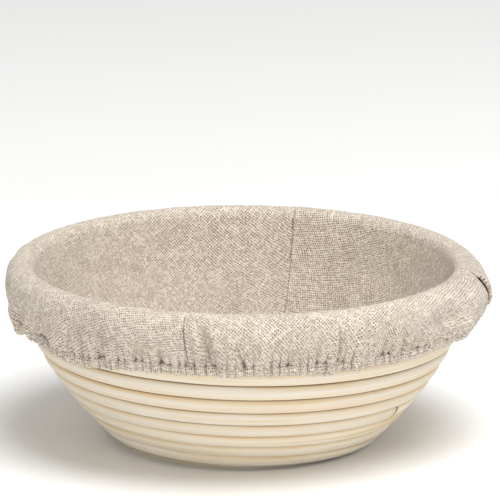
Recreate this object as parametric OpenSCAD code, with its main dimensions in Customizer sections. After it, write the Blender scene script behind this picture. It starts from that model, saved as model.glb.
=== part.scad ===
// Round proofing basket wound from cane, with its fitted cloth liner.
// Origin: centre of the sole, on the surface the basket stands on. +Z up, front towards -Y.

/* [Basket] */
// Radius of the outermost base course, at the middle of the cane
base_edge_r = 61; // [50:0.5:70]
// Radius at which the base spiral begins, at the middle of the cane
base_start_r = 8.3; // [7:0.1:12]
// Courses of wall from the base edge to the rim hoop
wall_courses = 11.5; // [8.5:1:12.5]
// Lean of the wall at its middle course, degrees from level
wall_lean = 53.1; // [45:0.1:60]
// How much steeper each course is than the one below it, degrees
lean_gain = 3.3; // [1:0.1:4]
// Extra steepening towards the rim and the foot, degrees per course squared
lean_curve = 0.2; // [0:0.05:0.5]

/* [Cane] */
// Thickness of the round cane
cane_d = 8.8; // [6:0.1:10]
// Hairline between two courses
course_gap = 0.1; // [0.1:0.05:0.3]
// Sides of the cane's section
cane_sides = 10; // [6:2:12]
// Rings of the cane in one turn
turn_rings = 30; // [24:6:36]
// Rings that a scarf joint is long
scarf_rings = 3; // [2:1:5]
// Thickness left at the tip of a scarf
scarf_tip = 1.2; // [0.8:0.1:2]

/* [Nails and staples] */
// Turns between two wall brads
brad_step = 0.153846; // [0.1:0.01:0.2]
// Shank of a brad
brad_d = 1.4; // [1:0.1:1.8]
// How deep a brad goes into the course below
brad_bite = 3.2; // [2:0.1:3.8]
// Rows of staples under the base
staple_rows = 4; // [3:1:6]
// Wire of a staple
staple_wire = 0.9; // [0.6:0.1:1.2]

/* [Liner] */
// Thickness of the linen
cloth_t = 1.0; // [0.6:0.1:1.4]
// Air between the linen and the cane
cloth_air = 0.9; // [0.5:0.1:1.5]
// Largest radius of the skirt
skirt_r = 116.0; // [113:0.1:118]
// Height of the skirt's lower end, where the casing starts
skirt_foot_z = 64.2; // [60:0.1:70]
// Height of the elastic's casing
casing_h = 5.0; // [4:0.1:7]
// Thickness of the elastic's casing
casing_t = 1.8; // [1.6:0.1:2.4]
// Width of a dart's seam
seam_w = 4.0; // [2:0.5:6]

/* [Hidden] */

cane_r = cane_d / 2;
pitch = cane_d + course_gap;
half_side = 180 / cane_sides;
sole_z = cane_r * cos(half_side);       // the sole is the flat lowest side of the base cane
ring = 1 / turn_rings;
front = -90;                            // azimuth of the front
front_turn = 0.5;                       // the winding passes the front at half turns
middle_course = 4.5;                    // the course at which wall_lean holds
base_start = 1 - (base_edge_r - base_start_r) / pitch;
run_out = wall_courses - 1;             // where the last course starts to thin out
run_out_tip = 0.8;                      // thickness at which it ends

// Splices, in turns: where each cane's outer tongue begins
base_splice = 1 + 25 * ring;
lower_splice = 4 + 10 * ring;
upper_splice = 7 + 28 * ring;

cane_tint = [0.89, 0.80, 0.62];
cane_tint_b = [0.86, 0.75, 0.55];
steel_tint = [0.55, 0.55, 0.56];
linen_tint = [0.68, 0.64, 0.58];
seam_tint = [0.60, 0.56, 0.50];

// ---- winding: a turn count gives a place in the section and an azimuth ----

function ease(x) = x <= 0 ? 0 : x >= 1 ? 1 : x * x * (3 - 2 * x);
function lean_at(c) = wall_lean + lean_gain * (c - middle_course) + lean_curve * pow(c - middle_course, 2);
// direction from a course to the one above it
function lean(u) = u < 1 ? lean_at(1) * ease(u) : lean_at(u);
// tilt of the cane's section, level while the cane lies in the sole
function tilt(u) = u < 1.5 ? lean_at(1) * ease(2 * (u - 1)) : lean_at(u - 0.5);
// middle of the cane, as [radius, height]; each course touches the one a turn before it
function course(u) = u <= 1
    ? [base_edge_r - pitch * (1 - u), sole_z]
    : course(u - 1) + pitch * [cos(lean(u - 1)), sin(lean(u - 1))];
function azimuth(u) = front - 360 * (u - front_turn);
function at(p, a) = [p[0] * cos(a), p[0] * sin(a), p[1]];
rim = course(wall_courses);

// ---- cane sections: [across the wall (outward), along the wall (upward)] ----

function spread(from, to) = [for (k = [0 : cane_sides - 1]) from + (to - from) * k / (cane_sides - 1)];
function rolled(list, by) = [for (k = [0 : len(list) - 1]) list[(k + by) % len(list)]];
// a full round, a tongue that keeps its outer side, or a tongue that keeps its inner side
function outer_tongue(cut) = spread(-acos(cut / cane_r), acos(cut / cane_r));
function inner_tongue(cut) = rolled(spread(acos(cut / cane_r), 360 - acos(cut / cane_r)), cane_sides / 2);
full_round = spread(half_side - 180, 180 - half_side);
// level of the scarf's slope, x = 0 where the outer tongue begins and 1 where the inner one ends
function scarf_cut(x) = (cane_r - scarf_tip) * (1 - 2 * x);
scarf_gap = 0.15;
function section_angles(u, from, to, scarfed_from, scarfed_to) =
    let (x0 = (u - from) / (scarf_rings * ring), x1 = (u - to) / (scarf_rings * ring) + 1)
    scarfed_from && x0 < 1.01 ? outer_tongue(scarf_cut(x0) + scarf_gap)
    : scarfed_to && x1 > -0.01 ? inner_tongue(scarf_cut(x1))
    : full_round;

// the last course thins between the course below it and the rim hoop
function wedge_room(u) = norm(rim - course(u - 1)) - cane_d - 2 * course_gap;
function middle(u) = u < run_out ? course(u) : (course(u - 1) + rim) / 2;
function upward(u) = u < run_out
    ? [cos(tilt(u)), sin(tilt(u))]
    : (rim - course(u - 1)) / norm(rim - course(u - 1));
function outward(u) = [upward(u)[1], -upward(u)[0]];
function half_height(u) = u < run_out ? cane_r : min(cane_r, wedge_room(u) / 2);

function cane_ring(u, angles) = [for (a = angles)
    at(middle(u) + cane_r * cos(a) * outward(u) + half_height(u) * sin(a) * upward(u), azimuth(u))];

// side faces of a tube made of rings, and its two ends
function tube_faces(rings, sides) = concat(
    [for (i = [0 : rings - 2], k = [0 : sides - 1], half = [0, 1])
        let (a = i * sides + k, b = i * sides + (k + 1) % sides)
        half == 0 ? [a, b + sides, b] : [a, a + sides, b + sides]],
    [[for (k = [0 : sides - 1]) k]],
    [[for (k = [sides - 1 : -1 : 0]) (rings - 1) * sides + k]]);

// a cane from one turn count to another, with its scarfed ends
module cane(from, to, scarfed_from = false, scarfed_to = false) {
    first = round(from / ring);
    last = round(to / ring);
    stations = [for (i = [first : last]) i * ring];
    points = [for (u = stations) each cane_ring(u, section_angles(u, from, to, scarfed_from, scarfed_to))];
    polyhedron(points, tube_faces(len(stations), cane_sides), convexity = 12);
}

module base_cane() {
    color(cane_tint) cane(base_start, base_splice + scarf_rings * ring, scarfed_to = true);
}

module lower_wall_cane() {
    color(cane_tint_b) cane(base_splice, lower_splice + scarf_rings * ring, true, true);
}

module middle_wall_cane() {
    color(cane_tint) cane(lower_splice, upper_splice + scarf_rings * ring, true, true);
}

module upper_wall_cane() {
    last = [for (i = [0 : turn_rings]) if (wedge_room(run_out + i * ring) > run_out_tip) run_out + i * ring];
    color(cane_tint_b) cane(upper_splice, max(last), scarfed_from = true);
}

// a level hoop, cut square where its ends meet
rim_butt = 60;
rim_slit = 0.15;
module rim_cane() {
    color(cane_tint) rotate(rim_butt) rotate_extrude(angle = 360 - rim_slit) translate(rim) circle(cane_r);
}

// ---- fasteners ----

// stands at a place in the section and points along a direction in the section
module placed(p, direction, a) {
    rotate([0, 0, a]) translate([p[0], 0, p[1]]) rotate([0, 90 - atan2(direction[1], direction[0]), 0]) children();
}

// a brad with its head at the origin, driven down
module brad(length) {
    head_d = 2.2;
    head_t = 0.5;
    translate([0, 0, -length]) cylinder(d = brad_d, h = length, $fn = 24);
    translate([0, 0, -head_t]) cylinder(d = head_d, h = head_t, $fn = 24);
}

// brads through each course into the course below it
module course_brads(from, to) {
    head_depth = 0.15;
    for (u = [from : brad_step : to])
        placed(course(u) + (cane_r - head_depth) * along(u), along(u), azimuth(u))
            brad(cane_d - head_depth + brad_bite);
}
function along(u) = (course(u) - course(u - 1)) / norm(course(u) - course(u - 1));

first_brad = 1.2;
lower_brads = 20;
middle_brads = 20;
upper_brads = 18;
module lower_wall_brads() {
    color(steel_tint) course_brads(first_brad, first_brad + brad_step * (lower_brads - 0.5));
}

module middle_wall_brads() {
    start = first_brad + brad_step * lower_brads;
    color(steel_tint) course_brads(start, start + brad_step * (middle_brads - 0.5));
}

module upper_wall_brads() {
    start = first_brad + brad_step * (lower_brads + middle_brads);
    color(steel_tint) course_brads(start, start + brad_step * (upper_brads - 0.5));
}

// brads through the rim hoop and the thinned last course
module rim_brads() {
    between = brad_step / 4;
    head_depth = 0.15;
    color(steel_tint)
        for (i = [0 : 5]) {
            u = run_out + between + brad_step * i;
            placed(rim + (cane_r - head_depth) * upward(u), upward(u), azimuth(u))
                brad(norm(rim - course(u - 1)) - head_depth + brad_bite);
        }
}

// two brads through each scarf, driven from the inside of the basket
module splice_brads() {
    depth = cane_d - 0.9;
    color(steel_tint)
        for (splice = [base_splice, lower_splice, upper_splice], i = [1, 2])
            placed(course(splice + i * ring) - (cane_r - 0.3) * outward(splice + i * ring),
                -outward(splice + i * ring), azimuth(splice + i * ring)) brad(depth);
}

// a staple across two neighbouring base courses, its crown in the sole
module staple(r) {
    leg = 6;
    span = pitch;
    crown_z = 0.1;
    translate([r - staple_wire / 2, -staple_wire / 2, crown_z]) cube([staple_wire, staple_wire, leg]);
    translate([r + span - staple_wire / 2, -staple_wire / 2, crown_z]) cube([staple_wire, staple_wire, leg]);
    translate([r - staple_wire / 2, -staple_wire / 2, crown_z]) cube([span + staple_wire, staple_wire, staple_wire]);
}

module base_staples() {
    side_step = 2.4;
    spans = 5;
    color(steel_tint)
        for (row = [0 : staple_rows - 1], i = [1 : spans]) {
            a = front + 20 + 360 * row / staple_rows;
            u = -(a - front) / 360 + front_turn;
            rotate([0, 0, a]) translate([0, (i % 2 == 0 ? 1 : -1) * side_step / 2, 0])
                staple(course(u - ceil(u) - i)[0]);
        }
}

// ---- liner: one line through the middle of the cloth, thickened both ways ----

function side_of(line, i) =
    let (d = line[min(i + 1, len(line) - 1)] - line[max(i - 1, 0)])
    [-d[1], d[0]] / norm(d);
function shifted(line, by) = [for (i = [0 : len(line) - 1]) line[i] + by * side_of(line, i)];
function reversed(list) = [for (i = [len(list) - 1 : -1 : 0]) list[i]];
function band(line, low, high) = concat(shifted(line, low), reversed(shifted(line, high)));

cloth_off = cane_r + cloth_air + cloth_t / 2;
floor_z = sole_z * 2 + cloth_air + cloth_t / 2;
floor_r = base_edge_r - 3.2;
wall_line = [for (c = [2 : 1 : wall_courses - 1]) course(c) - cloth_off * outward(c)];
roll_line = [for (a = [170 : -15 : 65]) rim + cloth_off * [cos(a), sin(a)]];
bowl_line = concat([[0, floor_z], [floor_r - 3, floor_z], [floor_r + 1.2, floor_z + 1.5]], wall_line, roll_line);
hem_top = [rim[0] + 2.2, skirt_foot_z];
skirt_line = concat(
    [roll_line[len(roll_line) - 1] + [0.08, -0.03]],
    [for (a = [62 : -16 : -18]) [skirt_r - 7 + 7 * cos(a), rim[1] - 2.2 + 7.6 * sin(a)]],
    [[skirt_r - 1.2, 74], [skirt_r - 3.2, 69], hem_top]);

module liner_bowl() {
    color(linen_tint) rotate_extrude($fn = 96)
        polygon(concat([[0, floor_z - cloth_t / 2]], [for (p = shifted(bowl_line, -cloth_t / 2)) if (p[0] > 1) p],
            [for (p = reversed(shifted(bowl_line, cloth_t / 2))) if (p[0] > 1) p], [[0, floor_z + cloth_t / 2]]));
}

module liner_skirt() {
    color(linen_tint) rotate_extrude($fn = 96) polygon(band(skirt_line, -cloth_t / 2, cloth_t / 2));
}

// the casing runs down the wall from the skirt's foot
casing_lean = lean_at(8.8);
module in_hem() {
    translate([hem_top[0] + 0.1, hem_top[1] - 0.5]) rotate(casing_lean - 90) children();
}

module hem_casing() {
    fold = 0.45;
    color(linen_tint) rotate_extrude($fn = 96) in_hem() difference() {
        translate([-casing_t / 2, -casing_h]) square([casing_t, casing_h]);
        translate([-casing_t / 2 + fold, -casing_h + fold]) square([casing_t - 2 * fold, casing_h - 2 * fold]);
    }
}

module hem_elastic() {
    elastic_w = 3.4;
    elastic_t = 0.7;
    color([0.93, 0.92, 0.88]) rotate_extrude($fn = 96) in_hem()
        translate([-elastic_t / 2, -(casing_h + elastic_w) / 2]) square([elastic_t, elastic_w]);
}

// one row of thread along the top of the casing
module hem_stitching() {
    thread = 0.5;
    color([0.80, 0.77, 0.70]) rotate_extrude($fn = 96) in_hem()
        translate([casing_t / 2 + thread / 2 + 0.05, -0.9]) circle(d = thread, $fn = 24);
}

// the folded edge of a dart, from the floor over the rim to the hem
seam_line = concat([for (i = [2 : len(bowl_line) - 1]) bowl_line[i]], [for (i = [1 : len(skirt_line) - 1]) skirt_line[i]]);
module dart_seam(a) {
    seam_t = 0.8;
    turn = seam_w / rim[0] * 180 / PI;
    low = cloth_t / 2 + 0.1;
    color(seam_tint) rotate([0, 0, a - turn / 2]) rotate_extrude(angle = turn, $fn = 96)
        polygon(band(seam_line, low, low + seam_t));
}

first_dart = -14;
module front_dart_seam() { dart_seam(front + first_dart); }
module right_dart_seam() { dart_seam(front + first_dart + 90); }
module back_dart_seam() { dart_seam(front + first_dart + 180); }
module left_dart_seam() { dart_seam(front + first_dart + 270); }

base_cane();
lower_wall_cane();
middle_wall_cane();
upper_wall_cane();
rim_cane();
base_staples();
lower_wall_brads();
middle_wall_brads();
upper_wall_brads();
rim_brads();
splice_brads();
liner_bowl();
liner_skirt();
hem_casing();
hem_elastic();
hem_stitching();
front_dart_seam();
right_dart_seam();
back_dart_seam();
left_dart_seam();
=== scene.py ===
"""Looks of a round proofing basket: wound cane, brads and staples, and a linen liner with an elastic hem."""

import logging
import math
from dataclasses import dataclass
from enum import Enum
from typing import Callable, Sequence

import bmesh
import bpy
from mathutils import Matrix, Vector, noise


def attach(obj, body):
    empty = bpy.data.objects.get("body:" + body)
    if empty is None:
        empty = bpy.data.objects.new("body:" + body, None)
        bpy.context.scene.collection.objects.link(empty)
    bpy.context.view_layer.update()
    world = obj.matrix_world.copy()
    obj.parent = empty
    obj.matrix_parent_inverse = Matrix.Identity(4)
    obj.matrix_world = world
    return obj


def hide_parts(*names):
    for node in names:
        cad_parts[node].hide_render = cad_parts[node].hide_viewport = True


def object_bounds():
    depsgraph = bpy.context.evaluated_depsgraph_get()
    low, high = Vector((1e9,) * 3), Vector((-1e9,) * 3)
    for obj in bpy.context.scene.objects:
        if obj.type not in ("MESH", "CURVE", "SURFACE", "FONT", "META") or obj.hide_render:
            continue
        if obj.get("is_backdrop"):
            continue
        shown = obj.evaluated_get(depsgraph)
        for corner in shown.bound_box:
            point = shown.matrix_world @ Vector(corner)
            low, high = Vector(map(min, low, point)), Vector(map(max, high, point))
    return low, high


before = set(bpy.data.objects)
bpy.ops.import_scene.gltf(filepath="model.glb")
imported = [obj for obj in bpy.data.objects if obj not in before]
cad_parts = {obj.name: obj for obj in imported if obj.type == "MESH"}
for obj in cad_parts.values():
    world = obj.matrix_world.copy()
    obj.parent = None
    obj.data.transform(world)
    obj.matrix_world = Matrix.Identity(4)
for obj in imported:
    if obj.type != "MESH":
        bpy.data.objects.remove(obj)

CAD_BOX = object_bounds()
MM = 0.001
LOG = logging.getLogger("basket")


class Body(Enum):
    """The rigid bodies that pieces ride on."""

    BASKET = "basket"
    LINER = "liner"


# ---- Small maths ----


def ease(x: float) -> float:
    """Smooth step from 0 at x = 0 to 1 at x = 1."""
    x = min(1.0, max(0.0, x))
    return x * x * (3 - 2 * x)


def hump(x: float, width: float) -> float:
    """Bell of height 1 at x = 0 that has faded at about twice its width."""
    return math.exp(-((x / width) ** 2))


def apart(a: float, b: float) -> float:
    """Signed angle in degrees from b to a, between -180 and 180."""
    return (a - b + 180) % 360 - 180


def wave(seed: float, x: float, y: float = 0.0) -> float:
    """Smooth noise between about -1 and 1, the same on every run."""
    return noise.noise(Vector((x, y, seed)))


def round_wave(seed: float, turn: float, pace: float, height: float = 0.0) -> float:
    """Smooth noise round a circle.

    Args:
        seed: picks the noise.
        turn: degrees round the circle.
        pace: noise cells in a degree.
        height: a second way through the noise.

    Returns:
        A number between about -1 and 1 that is the same after a whole turn.
    """
    a, reach = math.radians(turn), math.degrees(pace)
    return noise.noise(Vector((reach * math.cos(a), reach * math.sin(a), seed + height)))


def polar(radius: float, height: float, turn: float) -> Vector:
    """A point in metres.

    Args:
        radius: distance from the basket's axis, in millimetres.
        height: height above the sole, in millimetres.
        turn: degrees from the front towards the right.

    Returns:
        The point in the basket's frame.
    """
    a = math.radians(turn)
    return Vector((radius * math.sin(a), -radius * math.cos(a), height)) * MM


# ---- Mesh making ----

Place = Callable[[int, int], Vector]
Pattern = Callable[[int, int, float], tuple[float, float]]


def grid_piece(
    name: str,
    columns: int,
    rows: int,
    place: Place,
    pattern: Pattern,
    closed_columns: bool = False,
    closed_rows: bool = False,
    capped: bool = False,
    missing: Callable[[float, float], bool] | None = None,
    tuck: Callable[[int, int], float] | None = None,
) -> bpy.types.Object:
    """A surface laid out on a grid of columns and rows.

    Args:
        name: the piece's name.
        columns: number of faces along the first direction.
        rows: number of faces along the second direction.
        place: gives the point of a column and row.
        pattern: gives the pattern's coordinates of a column and row, and the face's middle column.
        closed_columns: the last column of points meets the first.
        closed_rows: the last row of points meets the first.
        capped: the open ends are filled.
        missing: tells which faces, by middle column and row, are left out.
        tuck: how deep in a fold a column and row lies, from 0 to 1, kept as the attribute "tuck", where the linen
            paints shade.

    Returns:
        The new object, with its place in its mesh.
    """
    bm = bmesh.new()
    bmesh.ops.create_grid(bm, x_segments=columns, y_segments=rows, size=1.0)
    cell = bm.verts.layers.int.new("cell")
    deep = bm.verts.layers.float.new("tuck") if tuck else None
    for v in bm.verts:
        i = round((v.co.x + 1) / 2 * columns)
        j = round((v.co.y + 1) / 2 * rows)
        v[cell] = i * (rows + 1) + j
        v.co = place(i, j)
        if tuck:
            v[deep] = tuck(i, j)
    flat = bm.loops.layers.uv.new("pattern")
    gone = []
    for face in bm.faces:
        cells = [divmod(loop.vert[cell], rows + 1) for loop in face.loops]
        middle_column = sum(c[0] for c in cells) / len(cells)
        middle_row = sum(c[1] for c in cells) / len(cells)
        for loop, (i, j) in zip(face.loops, cells):
            loop[flat].uv = pattern(i, j, middle_column)
        if missing and missing(middle_column, middle_row):
            gone.append(face)
    if gone:
        bmesh.ops.delete(bm, geom=gone, context="FACES")
    if closed_columns or closed_rows:
        bmesh.ops.remove_doubles(bm, verts=bm.verts, dist=1e-7)
    if capped:
        for first in (0, columns):
            edges = [e for e in bm.edges if e.is_boundary and all(v[cell] // (rows + 1) == first for v in e.verts)]
            bmesh.ops.contextual_create(bm, geom=edges)
    bmesh.ops.recalc_face_normals(bm, faces=bm.faces)
    bm.verts.layers.int.remove(bm.verts.layers.int["cell"])
    return finished(name, bm)


def finished(name: str, bm: bmesh.types.BMesh, smooth: bool = True) -> bpy.types.Object:
    """Turns a bmesh into an object of the scene.

    Args:
        name: the piece's name.
        bm: the mesh, which is freed.
        smooth: whether its faces are shaded smooth.

    Returns:
        The new object.
    """
    mesh = bpy.data.meshes.new(name)
    for face in bm.faces:
        face.smooth = smooth
    bm.to_mesh(mesh)
    bm.free()
    piece = bpy.data.objects.new(name, mesh)
    bpy.context.scene.collection.objects.link(piece)
    return piece


def strands(name: str, paths: Sequence[Sequence[Vector]], radius: float, sides: int = 6) -> bpy.types.Object:
    """Thin round threads that follow paths.

    Args:
        name: the piece's name.
        paths: each thread's points, in metres.
        radius: a thread's radius in metres.
        sides: sides of a thread's section.

    Returns:
        One object that holds all the threads.
    """
    bm = bmesh.new()
    flat = bm.loops.layers.uv.new("pattern")
    for path in paths:
        ring = None
        for n, point in enumerate(path):
            ahead = (path[min(n + 1, len(path) - 1)] - path[max(n - 1, 0)]).normalized()
            turn = ahead.to_track_quat("Z", "Y").to_matrix().to_4x4()
            turn.translation = point
            if ring is None:
                made = bmesh.ops.create_circle(bm, cap_ends=True, segments=sides, radius=radius, matrix=turn)
                ring = made["verts"]
                edges = list({e for v in ring for e in v.link_edges})
                continue
            made = bmesh.ops.extrude_edge_only(bm, edges=edges)["geom"]
            ring = [g for g in made if isinstance(g, bmesh.types.BMVert)]
            edges = [g for g in made if isinstance(g, bmesh.types.BMEdge)]
            middle = sum((v.co for v in ring), Vector()) / len(ring)
            for v in ring:
                v.co += point - middle
        bmesh.ops.contextual_create(bm, geom=edges)
    for face in bm.faces:
        for loop in face.loops:
            loop[flat].uv = (loop.vert.co.x + loop.vert.co.y, loop.vert.co.z)
    bmesh.ops.recalc_face_normals(bm, faces=bm.faces)
    return finished(name, bm)


# ---- Finishes ----

Colour = tuple[float, float, float]


class Shader:
    """A material under construction: nodes are added and joined by short calls.

    Where a call takes a value, it may be another node's output or a constant.
    """

    def __init__(self, name: str) -> None:
        """Starts a material with a Principled shader.

        Args:
            name: the material's name.
        """
        self.material = bpy.data.materials.new(name)
        self.material.use_nodes = True
        self.tree = self.material.node_tree
        self.surface = self.tree.nodes["Principled BSDF"]

    def node(self, kind: str, **settings: object) -> bpy.types.Node:
        """Adds a node.

        Args:
            kind: the node's type.
            settings: its properties.

        Returns:
            The new node.
        """
        made = self.tree.nodes.new(kind)
        for key, value in settings.items():
            setattr(made, key, value)
        return made

    def feed(self, socket: bpy.types.NodeSocket, value: object) -> None:
        """Joins an output to a socket, or sets the socket to a constant.

        Args:
            socket: the input to feed.
            value: an output, a number or a colour.
        """
        if isinstance(value, bpy.types.NodeSocket):
            self.tree.links.new(value, socket)
        elif isinstance(value, tuple) and len(value) == 3 and socket.type == "RGBA":
            socket.default_value = (*value, 1.0)
        else:
            socket.default_value = value

    def feed_all(self, made: bpy.types.Node, *values: object) -> bpy.types.NodeSocket:
        """Feeds a node's inputs in order.

        Args:
            made: the node.
            values: what its inputs get.

        Returns:
            The node's first output.
        """
        for socket, value in zip(made.inputs, values):
            self.feed(socket, value)
        return made.outputs[0]

    def maths(self, operation: str, a: object, b: object = 0.5) -> bpy.types.NodeSocket:
        """The result of a Math node."""
        return self.feed_all(self.node("ShaderNodeMath", operation=operation), a, b)

    def times(self, a: object, b: object) -> bpy.types.NodeSocket:
        """One value times another."""
        return self.maths("MULTIPLY", a, b)

    def blend(self, share: object, a: object, b: object) -> bpy.types.NodeSocket:
        """Mixes one colour over another.

        Args:
            share: how much of colour b shows.
            a: the colour below.
            b: the colour above.

        Returns:
            The mixed colour.
        """
        made = self.node("ShaderNodeMix", data_type="RGBA")
        self.feed(made.inputs["Factor"], share)
        self.feed(made.inputs[6], a)
        self.feed(made.inputs[7], b)
        return made.outputs[2]

    def choose(self, share: object, a: object, b: object) -> bpy.types.NodeSocket:
        """Mixes two numbers.

        Args:
            share: how much of number b counts.
            a: the first number.
            b: the second number.

        Returns:
            The mixed number.
        """
        made = self.node("ShaderNodeMix", data_type="FLOAT")
        self.feed(made.inputs["Factor"], share)
        self.feed(made.inputs[2], a)
        self.feed(made.inputs[3], b)
        return made.outputs[0]

    def ramp(
        self, value: object, low: float, high: float, to_low: float = 0.0, to_high: float = 1.0
    ) -> bpy.types.NodeSocket:
        """Maps low..high to to_low..to_high smoothly, clamped."""
        made = self.node("ShaderNodeMapRange", interpolation_type="SMOOTHSTEP")
        return self.feed_all(made, value, low, high, to_low, to_high)

    def parts(self, vector: object) -> list[bpy.types.NodeSocket]:
        """The three numbers of a vector.

        Args:
            vector: an output that gives a vector.

        Returns:
            The outputs X, Y and Z.
        """
        made = self.node("ShaderNodeSeparateXYZ")
        self.feed(made.inputs[0], vector)
        return list(made.outputs)

    def pattern(self) -> list[bpy.types.NodeSocket]:
        """The two coordinates of the piece's own pattern map."""
        return self.parts(self.node("ShaderNodeUVMap", uv_map="pattern").outputs[0])[:2]

    def point(self, x: object, y: object, z: object = 0.0) -> bpy.types.NodeSocket:
        """A vector from three numbers."""
        return self.feed_all(self.node("ShaderNodeCombineXYZ"), x, y, z)

    def noise(self, where: object, scale: float, detail: float = 2.0, roughness: float = 0.5) -> bpy.types.NodeSocket:
        """Smooth noise.

        Args:
            where: the place it is read at.
            scale: cells in a unit of length.
            detail: how many finer layers it has.
            roughness: how strong the finer layers are.

        Returns:
            A number about 0.5.
        """
        made = self.node("ShaderNodeTexNoise")
        self.feed(made.inputs["Vector"], where)
        for name, value in (("Scale", scale), ("Detail", detail), ("Roughness", roughness)):
            made.inputs[name].default_value = value
        return made.outputs[0]

    def place(self) -> bpy.types.NodeSocket:
        """The point on the object, in metres."""
        return self.node("ShaderNodeTexCoord").outputs["Object"]

    def bump(self, height: object, distance: float, strength: float) -> bpy.types.NodeSocket:
        """A surface normal bent by a relief.

        Args:
            height: the relief, from 0 to about 1.
            distance: the relief's depth in metres.
            strength: how much of it counts.

        Returns:
            The bent normal.
        """
        made = self.node("ShaderNodeBump")
        made.inputs["Distance"].default_value = distance
        made.inputs["Strength"].default_value = strength
        self.feed(made.inputs["Height"], height)
        return made.outputs[0]

    def set(self, **sockets: object) -> None:
        """Feeds sockets of the surface by their names, with spaces as underscores."""
        for name, value in sockets.items():
            self.feed(self.surface.inputs[name.replace("_", " ")], value)


@dataclass(frozen=True)
class CaneFinish:
    """Peeled cane: pale straw with long fine fibres, with painted shade where two courses touch: golder towards the
    groove and brown in it.

    A pace is a number of noise cells in a metre along the cane.
    """

    name: str
    pale: Colour = (0.79, 0.72, 0.595)
    gold: Colour = (0.72, 0.545, 0.29)
    blush: Colour = (0.76, 0.56, 0.40)
    brown: Colour = (0.20, 0.105, 0.045)
    bleached: Colour = (0.90, 0.83, 0.71)
    warmth: float = 0.35
    # Painted shade: how dark the groove between two courses is painted.
    groove_shade: float = 0.9
    seed: float = 0.0
    girth_cells: float = 28.0
    fibre_pace: float = 22.0
    # Pace of the noise that varies the painted groove shade along the cane.
    groove_shade_pace: float = 18.0
    band_pace: float = 7.0
    patch_pace: float = 3.1
    # Painted shadow of the scarf joint: from where to where along the cane, in metres, its start is painted brown.
    end_shade: tuple[float, float] = (0.0008, 0.0026)
    fibre_depth: float = 0.00018

    def make(self) -> bpy.types.Material:
        """Builds the material.

        Returns:
            The material, which reads the cane's length and girth from its pattern map.
        """
        s = Shader(self.name)
        along, around = s.pattern()
        girth = s.times(around, self.girth_cells)

        def grain(pace: float, fineness: float, shift: float, *detail: float) -> bpy.types.NodeSocket:
            """Noise drawn out along the cane, finer or coarser round its girth."""
            return s.noise(s.point(s.times(along, pace), s.times(girth, fineness), self.seed + shift), 1.0, *detail)

        fibre = grain(self.fibre_pace, 2.4, 0.0, 3.0, 0.6)
        band = grain(self.band_pace, 0.35, 7.0)
        patch = grain(self.patch_pace, 0.08, 3.0)
        colour = s.blend(s.ramp(band, 0.43, 0.70, 0.0, self.warmth + 0.32), self.pale, self.gold)
        colour = s.blend(s.ramp(patch, 0.52, 0.75, 0.0, 0.55), colour, self.blush)
        colour = s.blend(s.ramp(fibre, 0.47, 0.72, 0.0, 0.68), colour, self.gold)
        colour = s.blend(s.ramp(fibre, 0.26, 0.46, 0.5, 0.0), colour, self.bleached)
        # Painted shade where the courses meet: golder towards the top and bottom of the section and brown in the
        # groove, stronger or weaker along the cane.
        side = s.maths("ABSOLUTE", s.maths("SINE", s.times(around, math.tau)))
        groove_shade_noise = s.noise(s.point(s.times(along, self.groove_shade_pace), 0.0, self.seed + 11), 1.0, 2.0)
        painted_edge_shade = s.times(s.ramp(side, 0.50, 0.92), s.ramp(groove_shade_noise, 0.32, 0.70, 0.12, 0.85))
        colour = s.blend(painted_edge_shade, colour, self.gold)
        painted_groove_shade = s.ramp(groove_shade_noise, 0.25, 0.75, 0.68 * self.groove_shade, self.groove_shade)
        colour = s.blend(s.times(s.ramp(side, 0.875, 0.975), painted_groove_shade), colour, self.brown)
        # Painted shadow of the scarf joint: brown at the start of each length.
        colour = s.blend(s.ramp(along, *self.end_shade, 0.85, 0.0), colour, self.brown)
        s.set(Base_Color=colour, Roughness=s.ramp(fibre, 0.2, 0.8, 0.52, 0.66), Specular_IOR_Level=0.35)
        s.set(Normal=s.bump(s.maths("ADD", fibre, s.times(band, 0.6)), self.fibre_depth, 0.55))
        return s.material


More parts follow.
